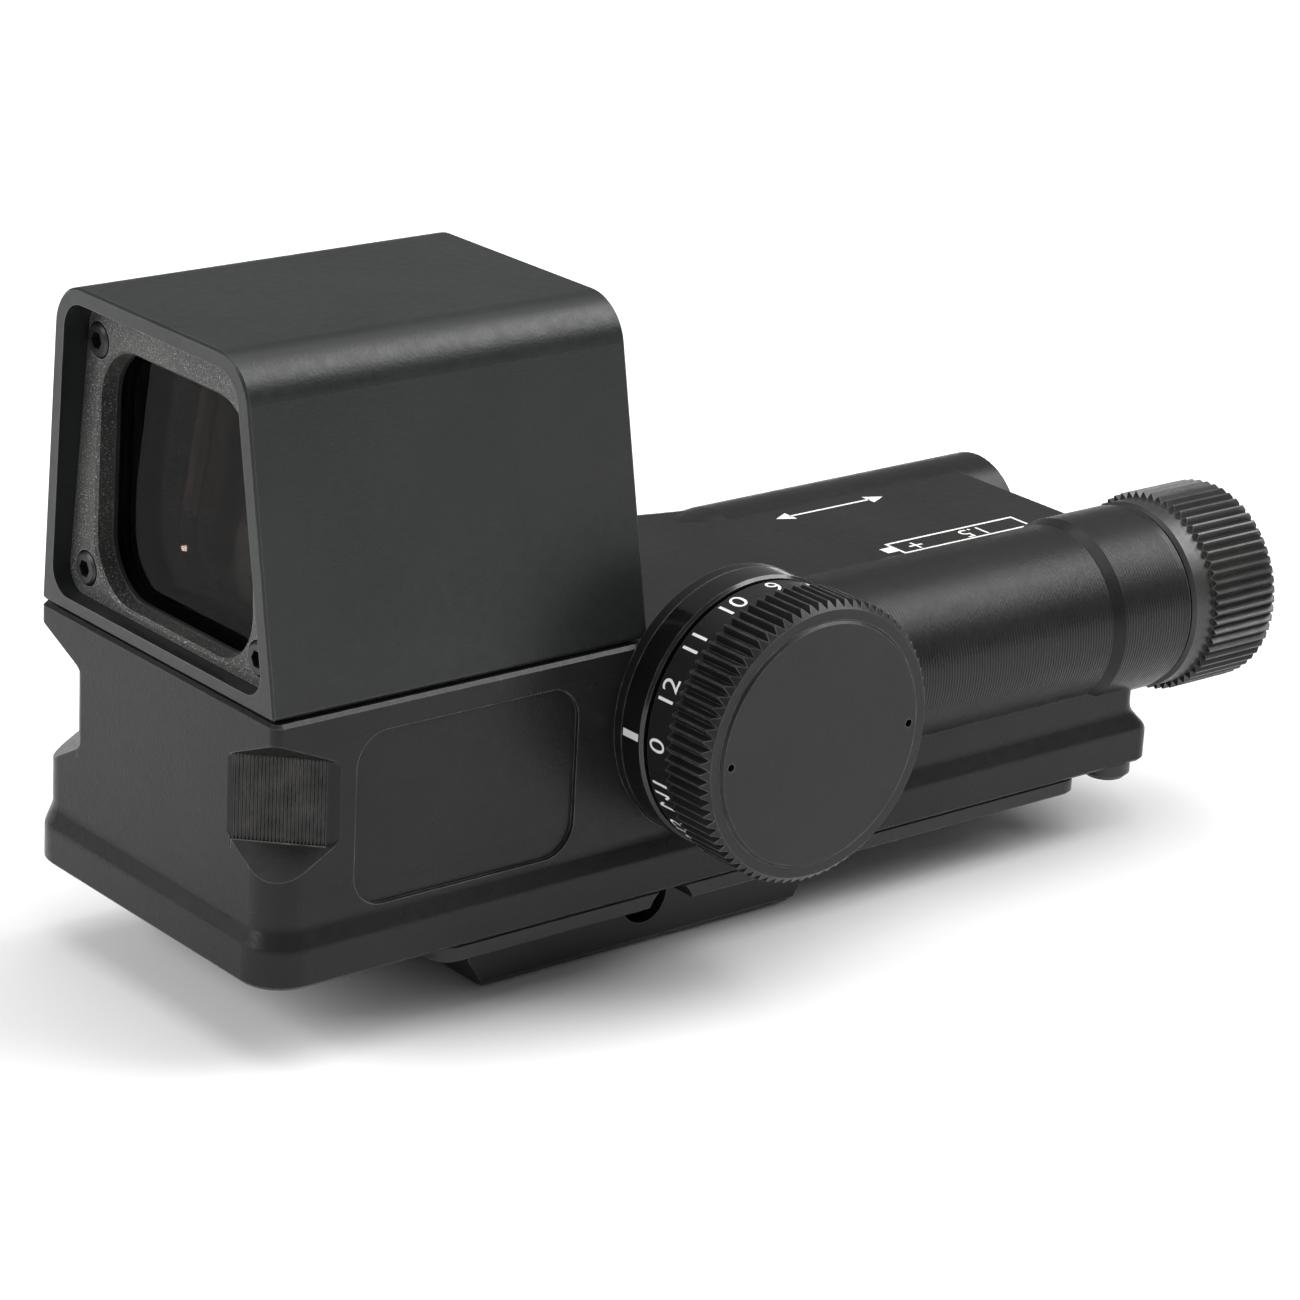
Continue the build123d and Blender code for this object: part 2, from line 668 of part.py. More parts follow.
with BuildPart() as rear_adjuster_seal:
    with BuildSketch(Plane(origin=(barrel_x, drum_groove_y, barrel_z), x_dir=(1, 0, 0), z_dir=(0, 0, 1))):
        with Locations((drum_groove_r + drum_seal_r + 0.02, 0)):
            Circle(drum_seal_r)
    revolve(axis=Axis((barrel_x, drum_groove_y, barrel_z), (0, 1, 0)))
save(rear_adjuster_seal, "rear_adjuster_seal")

with BuildPart() as side_adjuster:
    with BuildSketch(side_plane(-block_half, side_y, side_z)):
        Circle(side_drum_r)
    extrude(amount=4.3)
    with BuildSketch(side_plane(-block_half, side_y, side_z)):
        Circle(side_rod_r)
    extrude(amount=block_half - 4.35)
    with BuildSketch(side_plane(-block_half, side_y, side_z)):
        Rectangle(7, 1.0)
    extrude(amount=1.0, mode=Mode.SUBTRACT)
    with BuildSketch(side_plane(-18.8, side_y, side_z)):
        Circle(side_drum_r + 1)
        Circle(2.2, mode=Mode.SUBTRACT)
    extrude(amount=1.0, mode=Mode.SUBTRACT)
save(side_adjuster, "side_adjuster")

with BuildPart() as side_adjuster_seal:
    with BuildSketch(Plane(origin=(-18.3, side_y, side_z), x_dir=(0, 1, 0), z_dir=(0, 0, 1))):
        with Locations((2.62, 0)):
            Circle(0.4)
    revolve(axis=Axis((-18.3, side_y, side_z), (1, 0, 0)))
save(side_adjuster_seal, "side_adjuster_seal")

# ------------------------------------------------------------ electronics
with BuildPart() as circuit_board:
    with BuildSketch(Plane.XY.offset(board_z)):
        with Locations(board_centre):
            RectangleRounded(board_w, board_len, 1)
        with Locations(*board_posts):
            Circle(board_screw_r + 0.2, mode=Mode.SUBTRACT)
    extrude(amount=board_t)
    # chips
    with BuildSketch(Plane.XY.offset(board_z)):
        with Locations((-7, 12), (-7, 26)):
            Rectangle(6, 6)
        with Locations((-4, 38), (-10, 38)):
            Rectangle(2, 1.2)
    extrude(amount=-1.1)
save(circuit_board, "circuit_board")

with BuildPart() as board_screws:
    with BuildSketch(Plane.XY.offset(board_z - board_head_t)):
        with Locations(*board_posts):
            Circle(board_head_r)
    extrude(amount=board_head_t)
    with BuildSketch(Plane.XY.offset(board_z)):
        with Locations(*board_posts):
            Circle(board_screw_r)
    extrude(amount=board_screw_len)
    with BuildSketch(Plane.XY.offset(board_z - board_head_t)):
        with Locations(*board_posts):
            RegularPolygon(0.8, 6)
    extrude(amount=0.8, mode=Mode.SUBTRACT)
save(board_screws, "board_screws")

with BuildPart() as rotary_switch:
    with BuildSketch(side_plane(4.4, knob_y - 0.4, knob_z - 1.9)):
        RectangleRounded(13, 11, 1)
    extrude(amount=10.5)
    with BuildSketch(side_plane(shaft_start_x - 0.2, knob_y, knob_z)):
        Circle(shaft_r + running)
    extrude(amount=8, mode=Mode.SUBTRACT)
save(rotary_switch, "rotary_switch")

# ------------------------------------------------------------ knob
with BuildPart() as index_ring:
    with BuildSketch(side_plane(boss_x, knob_y, knob_z)):
        Circle(ring_r)
        Circle(4.8, mode=Mode.SUBTRACT)
    extrude(amount=ring_x - boss_x)
    chamfer(index_ring.faces().sort_by(Axis.X)[-1].outer_wire().edges(), 0.3)
    with BuildSketch(side_plane(ring_x, knob_y, knob_z)):
        with Locations((0, detent_r)):
            Circle(0.95)
    extrude(amount=-detent_depth, mode=Mode.SUBTRACT)
save(index_ring, "index_ring")

with BuildPart() as detent_ball:
    with Locations((ring_x - 0.1, knob_y, knob_z + detent_r)):
        Sphere(0.9)
save(detent_ball, "detent_ball")

with BuildPart() as detent_spring:
    with BuildLine():
        coil = Helix(
            pitch=0.4, height=1.0, radius=0.6, direction=(1, 0, 0),
            center=(ring_x - detent_depth + 0.2, knob_y, knob_z + detent_r),
        )
    with BuildSketch(Plane(origin=coil @ 0, z_dir=coil % 0)):
        Circle(0.14)
    sweep()
save(detent_spring, "detent_spring")

with BuildPart() as knob:
    with BuildSketch(Plane(origin=(0, knob_y, knob_z), x_dir=(1, 0, 0), z_dir=(0, -1, 0))):
        with BuildLine():
            Polyline(
                (dial_x, shaft_r), (dial_x, dial_r - edge_bevel), (dial_x + edge_bevel, dial_r),
                (knurl_x, dial_r), (knurl_x, knurl_r), (knob_face_x - knob_bevel, knurl_r),
                (knob_face_x, knurl_r - knob_bevel), (knob_face_x, disc_r + running),
                (disc_x, disc_r + running), (disc_x, shaft_r), close=True,
            )
        make_face()
    revolve(axis=Axis((0, knob_y, knob_z), (1, 0, 0)))
    # track that clears the detent ball, and its notches
    with BuildSketch(side_plane(dial_x, knob_y, knob_z)):
        Circle(detent_r + 1.1)
        Circle(detent_r - 1.1, mode=Mode.SUBTRACT)
    extrude(amount=0.75, mode=Mode.SUBTRACT)
    with BuildSketch(side_plane(dial_x, knob_y, knob_z)):
        with PolarLocations(detent_r, positions):
            Circle(0.7)
    extrude(amount=1.2, mode=Mode.SUBTRACT)
    # V flutes that run out on the dial
    flute_half = math.pi * knurl_r / flute_count * flute_fill
    flute_over = 0.3
    with BuildSketch(side_plane(knurl_x - flute_over, knob_y, knob_z)):
        with PolarLocations(knurl_r, flute_count):
            Polygon(
                (flute_over, -flute_half * 1.4), (flute_over, flute_half * 1.4), (-flute_depth, 0),
                align=None,
            )
    extrude(amount=knob_face_x - knurl_x + 2 * flute_over, mode=Mode.SUBTRACT)
save(knob, "brightness_knob")

with BuildPart() as knob_cover:
    with BuildSketch(side_plane(disc_x, knob_y, knob_z)):
        Circle(disc_r)
    extrude(amount=knob_face_x - disc_x + disc_proud)
    chamfer(knob_cover.faces().sort_by(Axis.X)[-1].edges(), 0.25)
    with BuildSketch(side_plane(knob_face_x + disc_proud, knob_y, knob_z)):
        with Locations((-disc_r + 1.2, 0), (disc_r - 1.2, 0)):
            Circle(0.42)
    extrude(amount=-0.8, mode=Mode.SUBTRACT)
save(knob_cover, "knob_cover")

with BuildPart() as knob_shaft:
    with BuildSketch(side_plane(shaft_start_x, knob_y, knob_z)):
        Circle(shaft_r)
    extrude(amount=disc_x - shaft_start_x)
save(knob_shaft, "knob_shaft")

with BuildPart() as knob_seal:
    with BuildSketch(Plane(origin=(23.6, knob_y, knob_z), x_dir=(0, 1, 0), z_dir=(0, 0, 1))):
        with Locations((3.93, 0)):
            Circle(0.8)
    revolve(axis=Axis((23.6, knob_y, knob_z), (1, 0, 0)))
save(knob_seal, "knob_seal")

# ------------------------------------------------------------ battery, contacts and cap
with BuildPart() as battery:
    with BuildSketch(radial_plane):
        with BuildLine():
            Polyline(
                (battery_y[0], 0), (battery_y[0], 2.75), (battery_y[0] + 1, 2.75),
                (battery_y[0] + 1, battery_r - 0.6), (battery_y[0] + 1.6, battery_r),
                (battery_y[1] - 0.6, battery_r), (battery_y[1], battery_r - 0.6), (battery_y[1], 0), close=True,
            )
        make_face()
    revolve(axis=tube_axis)
save(battery, "battery")

with BuildPart() as front_contact:
    with BuildSketch(radial_plane):
        with BuildLine():
            Polyline((14, 0), (14, 6.6), (14.7, 6.6), (14.7, 2), (15.3, 1.4), (15.3, 0), close=True)
        make_face()
    revolve(axis=tube_axis)
save(front_contact, "front_contact")

with BuildPart() as cap_contact:
    with BuildSketch(radial_plane):
        with BuildLine():
            Polyline(
                (65.4, 0), (65.4, 6.6), (66.2, 6.6), (66.2, stem_r), (cap_pocket_y - 0.2, stem_r),
                (cap_pocket_y - 0.2, 0), close=True,
            )
        make_face()
    revolve(axis=tube_axis)
save(cap_contact, "cap_contact")

with BuildPart() as contact_spring:
    with BuildLine():
        contact_coil = Helix(
            pitch=1.5, height=4.6, radius=4.6, center=(tube_x, 66.8, tube_z), direction=(0, 1, 0)
        )
    with BuildSketch(Plane(origin=contact_coil @ 0, z_dir=contact_coil % 0)):
        Circle(0.4)
    sweep()
save(contact_spring, "contact_spring")

with BuildPart() as battery_cap:
    thread_out = thread_r - running
    with BuildSketch(radial_plane):
        with BuildLine():
            Polyline(
                (cap_plug_y, bore_r + 0.1), (cap_plug_y, thread_out - 0.4), (cap_plug_y + 0.4, thread_out),
                (cap_start_y, thread_out), (cap_start_y, cap_collar_r - cap_bevel),
                (cap_start_y + cap_bevel, cap_collar_r), (cap_collar_y, cap_collar_r),
                (cap_collar_y, cap_r), (cap_end_y - cap_bevel, cap_r), (cap_end_y, cap_r - cap_bevel),
                (cap_end_y, 0), (cap_pocket_y, 0), (cap_pocket_y, stem_r + running),
                (cap_floor_y, stem_r + running), (cap_floor_y, bore_r + 0.1), close=True,
            )
        make_face()
    revolve(axis=tube_axis)
    # thread turns on the plug
    with BuildSketch(radial_plane):
        for turn in range(4):
            root_y = cap_plug_y + 1.2 + cap_pitch * turn
            with BuildLine():
                Polyline(
                    (root_y, thread_out + 0.1), (root_y + 1.1, thread_out + 0.1),
                    (root_y + 0.55, thread_out - 0.6), close=True,
                )
            make_face()
    revolve(axis=tube_axis, mode=Mode.SUBTRACT)
    # V flutes that run out on the collar and open through the end face
    cap_flute_half = math.pi * cap_r / cap_flute_count * flute_fill
    with BuildSketch(across(cap_collar_y - flute_over)):
        with Locations((tube_x, tube_z)):
            with PolarLocations(cap_r, cap_flute_count):
                Polygon(
                    (flute_over, -cap_flute_half * 1.4), (flute_over, cap_flute_half * 1.4),
                    (-cap_flute_depth, 0), align=None,
                )
    extrude(amount=-(cap_end_y - cap_collar_y + 2 * flute_over), mode=Mode.SUBTRACT)
save(battery_cap, "battery_cap")

with BuildPart() as cap_seal:
    with BuildSketch(radial_plane):
        with Locations(((tube_end_y + cap_start_y) / 2, cap_seal_r)):
            Circle(cap_seal_section)
    revolve(axis=tube_axis)
save(cap_seal, "cap_seal")

# ------------------------------------------------------------ rail clamp
with BuildPart() as clamp_base:
    with BuildSketch(Plane.XY) as plate:
        with Locations((0, middle(plate_y))):
            RectangleRounded(2 * plate_half, span(plate_y), plate_corner_r)
    extrude(amount=plate_t)
    chamfer(clamp_base.faces().sort_by(Axis.Z)[-1].edges(), 0.3)
    chamfer(clamp_base.faces().sort_by(Axis.Z)[0].edges(), 0.4)
    # the rail seat stands proud between the jaws
    with BuildSketch(Plane.XY):
        with Locations(*[(side * (seat_half + plate_half / 2), middle(plate_y)) for side in (-1, 1)]):
            Rectangle(plate_half, span(plate_y) + 2)
    extrude(amount=seat_step, mode=Mode.SUBTRACT)
    # fixed jaw
    with BuildSketch(across(jaw_half_len)):
        with BuildLine():
            Polyline(
                (rail_half, 0.3), (rail_half, 0), (apex_half, apex_z), (lip_half, lip_z), (9.8, jaw_low_z),
                (jaw_outer_x - 0.8, jaw_low_z), (jaw_outer_x, jaw_low_z + 0.8), (jaw_outer_x, 0.3), close=True,
            )
        make_face()
    extrude(amount=2 * jaw_half_len)
    # bevel both ends of the jaw from below
    for end in (-1, 1):
        with BuildSketch(side_plane(rail_half - 1)):
            with BuildLine():
                Polyline(
                    (end * (jaw_half_len + 1), jaw_low_z - 1), (end * (jaw_half_len - 3.4), jaw_low_z - 1),
                    (end * (jaw_half_len - 2.4), jaw_low_z), (end * jaw_half_len, -2.6),
                    (end * (jaw_half_len + 1), -2.6), close=True,
                )
            make_face()
        extrude(amount=jaw_outer_x, mode=Mode.SUBTRACT)
    # cross bolt groove, head recess, and the slot for the bolt's eye
    with BuildSketch(side_plane(-plate_half - 1, 0, bolt_z)):
        Circle(bolt_r + 2 * running)
    extrude(amount=40, mode=Mode.SUBTRACT)
    with BuildSketch(side_plane(12.6, 0, bolt_z)):
        Circle(cross_r)
    extrude(amount=12, mode=Mode.SUBTRACT)
    with BuildSketch(Plane.XY.offset(-1)):
        with Locations((-plate_half, 0)):
            Rectangle(4.4, 6.4)
        with Locations((-13.3, tab_y), (-13.3, -tab_y)):
            RectangleRounded(9.8, 2.7, 0.5)
    extrude(amount=plate_t + 2, mode=Mode.SUBTRACT)
    # countersunk holes for the base screws, from the rail side
    with Locations(*[Plane(origin=(x, y, 0), z_dir=(0, 0, -1)) for x, y in base_screws]):
        CounterSinkHole(1.4, 2.4, depth=plate_t)
save(clamp_base, "clamp_base")

with BuildPart() as base_gasket:
    with BuildSketch(Plane.XY.offset(plate_t)):
        with Locations((0, middle(plate_y))):
            RectangleRounded(2 * plate_half - 1.2, span(plate_y) - 1.2, 2)
        with Locations((middle(bay_x), middle(bay_y))):
            RectangleRounded(span(bay_x), span(bay_y), 2, mode=Mode.SUBTRACT)
        with Locations(*base_screws):
            Circle(1.4, mode=Mode.SUBTRACT)
    extrude(amount=skirt_low - plate_t)
save(base_gasket, "base_gasket")

with BuildPart() as base_screw_set:
    with Locations(*[(x, y, 0) for x, y in base_screws]):
        Cone(2.35, 1.25, 1.1, align=(Align.CENTER, Align.CENTER, Align.MIN))
        Cylinder(1.25, 8.2, align=(Align.CENTER, Align.CENTER, Align.MIN))
    with BuildSketch(Plane.XY):
        with Locations(*base_screws):
            RegularPolygon(1.1, 6)
    extrude(amount=1.2, mode=Mode.SUBTRACT)
save(base_screw_set, "base_screws")

with BuildPart() as foot_screw_set:
    with BuildSketch(Plane.XY.offset(skirt_low)):
        with Locations(*foot_screws):
            Circle(foot_head_r)
    extrude(amount=-foot_head_t)
    chamfer(foot_screw_set.faces().filter_by(Axis.Z).group_by(Axis.Z)[0].edges(), 0.6)
    with BuildSketch(Plane.XY.offset(skirt_low)):
        with Locations(*foot_screws):
            Circle(screw_r)
    extrude(amount=screw_depth - 0.2)
    with BuildSketch(Plane.XY.offset(skirt_low - foot_head_t)):
        with Locations(*foot_screws):
            RegularPolygon(1.3, 6)
    extrude(amount=1.2, mode=Mode.SUBTRACT)
save(foot_screw_set, "foot_screws")

with BuildPart() as movable_jaw:
    slide_gap = 0.1
    with BuildSketch(across(jaw_half_len)):
        with BuildLine():
            Polyline(
                (-rail_half, -slide_gap), (-apex_half, apex_z), (-lip_half, lip_z), (-9.8, jaw_low_z),
                (-jaw_outer_x + 0.8, jaw_low_z), (-jaw_outer_x, jaw_low_z + 0.8), (-jaw_outer_x, -slide_gap),
                close=True,
            )
        make_face()
    extrude(amount=2 * jaw_half_len)
    for end in (-1, 1):
        with BuildSketch(side_plane(-jaw_outer_x - 1)):
            with BuildLine():
                Polyline(
                    (end * (jaw_half_len + 1), jaw_low_z - 1), (end * (jaw_half_len - 3.4), jaw_low_z - 1),
                    (end * (jaw_half_len - 2.4), jaw_low_z), (end * jaw_half_len, -2.6),
                    (end * (jaw_half_len + 1), -2.6), close=True,
                )
            make_face()
        extrude(amount=12, mode=Mode.SUBTRACT)
    with BuildSketch(Plane.XY.offset(-1)):
        with Locations((-14.8, tab_y), (-14.8, -tab_y)):
            Rectangle(2.4, 2.3)
    extrude(amount=2.7)
    with BuildSketch(side_plane(-jaw_outer_x - 1, 0, bolt_z)):
        Circle(bolt_r + 0.1)
    extrude(amount=12, mode=Mode.SUBTRACT)
save(movable_jaw, "movable_jaw")

with BuildPart() as jaw_springs:
    for y in (tab_y, -tab_y):
        with BuildLine():
            jaw_coil = Helix(pitch=0.9, height=4.2, radius=0.7, center=(-13.2, y, 1.0), direction=(1, 0, 0))
        with BuildSketch(Plane(origin=jaw_coil @ 0, z_dir=jaw_coil % 0)):
            Circle(0.2)
        sweep(path=jaw_coil)
save(jaw_springs, "jaw_springs")

eye_x = (-25.0, -19.0)
with BuildPart() as clamp_bolt:
    with BuildSketch(side_plane(eye_x[1], 0, bolt_z)):
        Circle(bolt_r)
    extrude(amount=15.6 - eye_x[1])
    with BuildSketch(side_plane(12.6, 0, bolt_z)):
        Circle(bolt_head_r)
    extrude(amount=3)
    chamfer(clamp_bolt.faces().sort_by(Axis.X)[-1].edges(), 0.4)
    with BuildSketch(side_plane(15.6, 0, bolt_z)):
        RegularPolygon(1.6, 6)
    extrude(amount=-1.8, mode=Mode.SUBTRACT)
    with BuildSketch(Plane.XY.offset(-3.0)):
        with Locations((middle(eye_x), 0)):
            RectangleRounded(span(eye_x), 6, 2.2)
    extrude(amount=4.6)
    with BuildSketch(Plane.XY.offset(-3.0)):
        with Locations((pin_x, 0)):
            Circle(pin_r)
    extrude(amount=4.6, mode=Mode.SUBTRACT)
save(clamp_bolt, "clamp_bolt")

with BuildPart() as lever_pin:
    with BuildSketch(Plane.XY.offset(lever_z[0] - 0.05)):
        with Locations((pin_x, 0)):
            Circle(pin_r)
    extrude(amount=1.6 - lever_z[0] + 0.05)
    with BuildSketch(Plane.XY.offset(lever_z[0] - 0.05)):
        with Locations((pin_x, 0)):
            Circle(2.4)
    extrude(amount=-0.7)
    chamfer(lever_pin.faces().sort_by(Axis.Z)[0].edges(), 0.2)
save(lever_pin, "lever_pin")

# The cam's reach towards the jaw falls evenly as the lever opens a quarter turn.
cam_reach = -jaw_outer_x - pin_x - 0.05
cam_drop = jaw_travel / (math.pi / 2)


def cam_point(angle):
    """Point of the cam whose outward normal lies at this angle (radians) below +X."""
    reach = cam_reach - cam_drop * angle
    return (
        pin_x + reach * math.cos(angle) + cam_drop * math.sin(angle),
        -reach * math.sin(angle) + cam_drop * math.cos(angle),
    )


cam_points = [cam_point(math.radians(step * 10)) for step in range(11)]
with BuildPart() as clamp_lever:
    with BuildSketch(Plane.XY.offset(lever_z[0])):
        with BuildLine():
            Spline(*cam_points)
            Polyline(cam_points[-1], (-27.0, -3.2), (-28.6, 12), (-29.6, 42), (-24.6, 43.6), (-20.4, 12),
                     (cam_points[0][0], 3.0), cam_points[0])
        make_face()
    extrude(amount=span(lever_z))
    with BuildSketch(Plane.XY.offset(lever_z[0])):
        with BuildLine():
            Polyline((-29.0, 26), (-29.6, 42), (-24.6, 43.6), (-23.2, 40), (-23.2, 26), close=True)
        make_face()
    extrude(amount=7.4)
    with BuildSketch(Plane.XY.offset(lever_z[0])):
        with Locations((pin_x, 0)):
            Circle(pin_r + running)
    extrude(amount=span(lever_z), mode=Mode.SUBTRACT)
save(clamp_lever, "clamp_lever")
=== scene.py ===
"""Looks of the closed reflex sight: materials, painted marks, studio and camera round the CAD frame.

Blender lengths are metres in the CAD frame: +X the knob's side, +Y the eye end, +Z up. The painted
marks are worked out in millimetres and scaled by MM where their meshes are made.
"""
import bpy
import json
import math
from mathutils import Matrix, Vector


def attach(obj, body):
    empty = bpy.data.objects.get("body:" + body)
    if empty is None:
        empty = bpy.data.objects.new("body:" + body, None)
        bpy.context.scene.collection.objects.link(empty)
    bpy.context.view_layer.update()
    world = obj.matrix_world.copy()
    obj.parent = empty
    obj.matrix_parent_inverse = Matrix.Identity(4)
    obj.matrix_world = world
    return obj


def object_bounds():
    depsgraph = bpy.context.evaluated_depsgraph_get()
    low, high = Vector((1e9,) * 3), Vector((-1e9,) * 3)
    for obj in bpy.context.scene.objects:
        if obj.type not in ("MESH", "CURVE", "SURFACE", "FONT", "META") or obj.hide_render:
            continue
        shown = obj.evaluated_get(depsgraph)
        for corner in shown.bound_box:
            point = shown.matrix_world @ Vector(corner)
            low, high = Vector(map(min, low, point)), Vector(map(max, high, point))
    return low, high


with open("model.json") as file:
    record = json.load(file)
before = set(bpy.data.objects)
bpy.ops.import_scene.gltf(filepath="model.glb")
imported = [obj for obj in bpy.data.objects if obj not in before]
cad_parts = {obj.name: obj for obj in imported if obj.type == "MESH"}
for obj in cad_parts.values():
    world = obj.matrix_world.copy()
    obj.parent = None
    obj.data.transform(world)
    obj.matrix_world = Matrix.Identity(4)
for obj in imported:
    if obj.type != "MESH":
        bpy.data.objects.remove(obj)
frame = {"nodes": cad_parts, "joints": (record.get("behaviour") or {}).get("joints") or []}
nodes = frame["nodes"]
joints = {joint["name"]: joint for joint in frame["joints"]}
scene = bpy.context.scene
cad_box = [list(corner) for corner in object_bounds()]
MM = 0.001

NOISE_SPAN = (0.3, 0.7)      # most of a noise texture's values
EDGE_SPAN = (0.72, 0.985)    # cosine between a face's normal and its rounded normal: edge to flat
EDGE_RADIUS = 0.22 * MM      # how far the bright edges, part abrasion and part painted highlight, reach in from an edge
# colour of the bright edges: bare metal from abrasion, also painted highlight standing in for glints
# off the chamfers
BARE_METAL_AND_HIGHLIGHT = (0.32, 0.31, 0.3)
BLAST_GRAIN = (0.3, 0.29, 0.28)


# ------------------------------------------------------------------ node helpers
class Tree:
    """A new material, with short ways to add and link its shader nodes."""

    def __init__(self, name):
        self.material = bpy.data.materials.new(name)
        self.material.use_nodes = True
        self.nodes = self.material.node_tree.nodes
        self.links = self.material.node_tree.links
        self.shader = self.nodes["Principled BSDF"]
        self.place = self.add("ShaderNodeTexCoord").outputs["Object"]

    def add(self, kind, **settings):
        """New node; each setting is the name of one of its inputs or of an attribute."""
        node = self.nodes.new(kind)
        for key, value in settings.items():
            if key in node.inputs:
                node.inputs[key].default_value = value
            else:
                setattr(node, key, value)
        return node

    def link(self, source, target):
        self.links.new(source, target)

    def noise(self, scale, detail, stretch=(1, 1, 1)):
        """Noise in metres^-1, drawn out along an axis where stretch is small."""
        mapping = self.add("ShaderNodeMapping", Scale=stretch)
        self.link(self.place, mapping.inputs["Vector"])
        node = self.add("ShaderNodeTexNoise", Scale=scale, Detail=detail)
        self.link(mapping.outputs["Vector"], node.inputs["Vector"])
        return node.outputs["Fac"]

    def ramp(self, source, dark, light):
        """Colour that goes from dark to light over the span that noise mostly fills."""
        node = self.add("ShaderNodeValToRGB")
        for stop, position, colour in zip(node.color_ramp.elements, NOISE_SPAN, (dark, light)):
            stop.position = position
            stop.color = (*colour, 1)
        self.link(source, node.inputs["Fac"])
        return node.outputs["Color"]

    def remap(self, source, low, high, span=None):
        """Value between low and high as the source crosses the span, noise's own by default."""
        from_low, from_high = span or NOISE_SPAN
        limits = {"From Min": from_low, "From Max": from_high, "To Min": low, "To Max": high}
        node = self.add("ShaderNodeMapRange", **limits)
        self.link(source, node.inputs["Value"])
        return node.outputs["Result"]

    def sheen(self, source, rough, spread):
        """Roughness that varies with the source by the spread each way."""
        value = self.remap(source, rough - spread, rough + spread)
        self.link(value, self.shader.inputs["Roughness"])

    def bump(self, height, distance, after=None):
        """Surface relief, on top of an earlier relief's normal if there is one."""
        node = self.add("ShaderNodeBump", Strength=1.0, Distance=distance)
        self.link(height, node.inputs["Height"])
        if after is not None:
            self.link(after, node.inputs["Normal"])
        self.link(node.outputs["Normal"], self.shader.inputs["Normal"])
        return node.outputs["Normal"]

    def edges(self, radius):
        """1 on sharp edges, 0 on flats."""
        bevel = self.add("ShaderNodeBevel", samples=6, Radius=radius)
        geometry = self.add("ShaderNodeNewGeometry")
        dot = self.add("ShaderNodeVectorMath", operation="DOT_PRODUCT")
        self.link(bevel.outputs["Normal"], dot.inputs[0])
        self.link(geometry.outputs["Normal"], dot.inputs[1])
        return self.remap(dot.outputs["Value"], 1.0, 0.0, EDGE_SPAN)

    def mix(self, factor, socket, colour):
        """The socket's colour where the factor is 0, the given colour where it is 1."""
        node = self.add("ShaderNodeMix", data_type="RGBA")
        first, second = (slot for slot in node.inputs if slot.type == "RGBA")
        self.link(factor, node.inputs["Factor"])
        self.link(socket, first)
        second.default_value = (*colour, 1)
        return next(slot for slot in node.outputs if slot.type == "RGBA")

    def math(self, operation, *values):
        """Math node; each value is a socket or a float."""
        node = self.add("ShaderNodeMath", operation=operation)
        for value, slot in zip(values, node.inputs):
            if isinstance(value, float):
                slot.default_value = value
            else:
                self.link(value, slot)
        return node.outputs["Value"]

    def product(self, first, second):
        return self.math("MULTIPLY", first, second)


# ------------------------------------------------------------------ finishes
def anodised(name, dark, light, rough, grain=0.02 * MM, speck=2600, wear_and_highlight=0.35, gloss=0.5):
    """Black anodised aluminium: fine blasted grain, faint cloudy tone, bright edges that are partly
    abraded metal and partly painted highlight.

    Returns the tree and its grain's normal, so that a finish can build on them.
    """
    least_wear_and_highlight = 0.15
    tree = Tree(name)
    tone = tree.ramp(tree.noise(70, 4), dark, light)
    patches = tree.remap(tree.noise(420, 3), least_wear_and_highlight, wear_and_highlight)
    # bright edges: partly abrasion, partly painted highlight standing in for glints off the chamfers
    worn_and_highlit = tree.product(tree.edges(EDGE_RADIUS), patches)
    tree.link(tree.mix(worn_and_highlit, tone, BARE_METAL_AND_HIGHLIGHT), tree.shader.inputs["Base Color"])
    tree.sheen(tree.noise(900, 3), rough, 0.05)
    tree.shader.inputs["Specular IOR Level"].default_value = gloss
    return tree, tree.bump(tree.noise(speck, 2), grain)


def blasted(name, dark, light, rough):
    """Coarsely blasted frame plate: bright grains scattered over a dark ground."""
    tree, _ = anodised(name, dark, light, rough, grain=0.08 * MM, speck=4200, wear_and_highlight=0.6)
    grains = tree.remap(tree.noise(6500, 1), 0.0, 1.0, span=(0.6, 0.72))
    ground = tree.shader.inputs["Base Color"].links[0].from_socket
    tree.link(tree.mix(grains, ground, BLAST_GRAIN), tree.shader.inputs["Base Color"])


def turned_tube(name, dark, light, rough):
    """Housing finish; the battery tube's turned skin carries fine tool rings."""
    tube_x, _, tube_z = joints["cap_turn"]["pos_m"]
    skins = (10.1 * MM, 10.6 * MM)    # the tube's radius, and that of its raised ring
    skin_depth = 0.07 * MM
    ring_pitch, ring_depth = 0.4 * MM, 0.012 * MM
    tree, grain = anodised(name, dark, light, rough, wear_and_highlight=0.55, gloss=0.2)
    spot = tree.add("ShaderNodeSeparateXYZ")
    tree.link(tree.add("ShaderNodeNewGeometry").outputs["Position"], spot.inputs["Vector"])
    across = tree.math("SUBTRACT", spot.outputs["X"], tube_x)
    above = tree.math("SUBTRACT", spot.outputs["Z"], tube_z)
    squares = tree.math("ADD", tree.product(across, across), tree.product(above, above))
    radius = tree.math("SQRT", squares)
    on_skin = tree.math("MAXIMUM", *(tree.math("COMPARE", radius, skin, skin_depth) for skin in skins))
    wave = tree.math("SINE", tree.math("MULTIPLY", spot.outputs["Y"], 2 * math.pi / ring_pitch))
    tree.bump(tree.product(on_skin, wave), ring_depth, after=grain)


